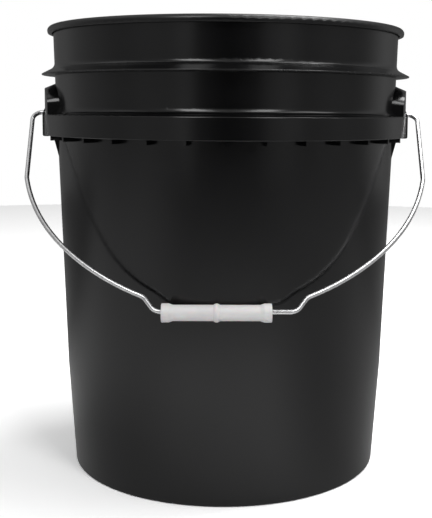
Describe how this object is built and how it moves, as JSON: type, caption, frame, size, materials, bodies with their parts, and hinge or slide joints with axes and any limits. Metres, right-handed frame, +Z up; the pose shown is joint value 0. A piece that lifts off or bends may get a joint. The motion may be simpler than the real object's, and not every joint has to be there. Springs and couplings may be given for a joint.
{
  "type": "wash bucket",
  "caption": "Round tapered plastic pail with rolled rim, stacking flange, ribbed band and side ears; a bent wire bail with a tubular grip swings over the rim.",
  "frame": {"origin": "centre of the foot ring, on the surface the bucket stands on", "axes": "+Z up along the bucket's axis, X through the two bail ears, the bail rests against the front at -Y"},
  "size_m": [0.3358, 0.3126, 0.3697],
  "materials": {
    "tub_plastic": "black moulded polyethylene, semi-gloss",
    "bail_steel": "bright galvanised wire",
    "grip_plastic": "white moulded polyethylene, satin"
  },
  "bodies": {
    "pail": {"tub": "tub_plastic"},
    "bail": {"bail_wire": "bail_steel"},
    "grip": {"grip": "grip_plastic"}
  },
  "joints": [
    {"name": "bail_swing", "type": "hinge", "parent": "pail", "child": "bail", "pos_m": [0, 0, 0.2985], "axis": [-1, 0, 0], "range_deg": [0, 269]},
    {"name": "grip_spin", "type": "hinge", "parent": "bail", "child": "grip", "pos_m": [-0.0066, -0.14651, 0.15433], "axis": [1, 0, 0], "continuous": true}
  ]
}
